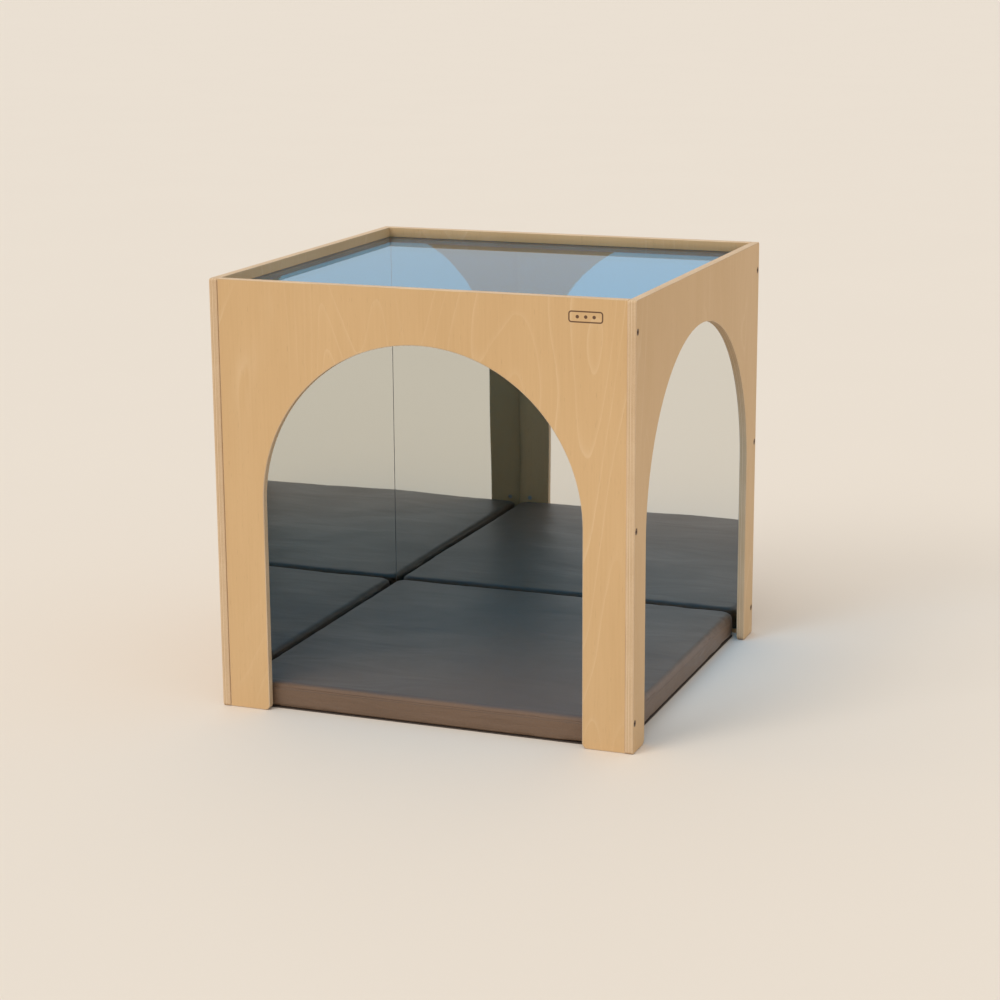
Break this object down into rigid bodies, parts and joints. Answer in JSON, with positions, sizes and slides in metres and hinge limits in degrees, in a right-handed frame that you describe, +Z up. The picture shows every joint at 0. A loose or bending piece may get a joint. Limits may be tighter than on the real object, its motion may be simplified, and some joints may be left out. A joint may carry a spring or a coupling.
{
  "type": "children's mirror play cube",
  "caption": "Plywood play den with two arched ways in, two mirror-lined walls, a blue-tinted clear roof sheet and a loose padded floor mat.",
  "frame": {"origin": "on the floor, at the middle of the cube's footprint", "axes": "+X to the right across the front, +Y from the front panel to the back panel, +Z up"},
  "size_m": [0.8, 0.79, 0.8],
  "materials": {
    "birch_plywood": "satin",
    "blue_acrylic": "gloss",
    "mirror_acrylic": "polished",
    "foam_tape": "matte",
    "bronze_bolt": "satin",
    "zinc_nut": "satin",
    "beech_dowel": "matte",
    "leatherette": "satin",
    "mat_foam": "matte",
    "nonslip_base": "matte",
    "zip_nylon": "matte",
    "slider_zinc": "satin"
  },
  "bodies": {
    "floor_mat": {"mat_cover": "leatherette", "mat_foam": "mat_foam", "mat_base": "nonslip_base", "mat_zip": "zip_nylon", "mat_zip_slider": "slider_zinc"},
    "cube": {"front_panel": "birch_plywood", "right_panel": "birch_plywood", "left_panel": "birch_plywood", "back_panel": "birch_plywood", "roof_sheet": "blue_acrylic", "left_mirror": "mirror_acrylic", "back_mirror": "mirror_acrylic", "left_mirror_tape": "foam_tape", "back_mirror_tape": "foam_tape", "front_left_bolts": "bronze_bolt", "front_right_bolts": "bronze_bolt", "back_left_bolts": "bronze_bolt", "back_right_bolts": "bronze_bolt", "front_left_barrel_nuts": "zinc_nut", "front_right_barrel_nuts": "zinc_nut", "back_left_barrel_nuts": "zinc_nut", "back_right_barrel_nuts": "zinc_nut", "front_left_dowels": "beech_dowel", "front_right_dowels": "beech_dowel", "back_left_dowels": "beech_dowel", "back_right_dowels": "beech_dowel"}
  },
  "joints": [
    {"name": "cube_lift", "type": "slide", "parent": "floor_mat", "child": "cube", "axis": [0, 0, 1], "range_m": [0, 0.25]}
  ]
}
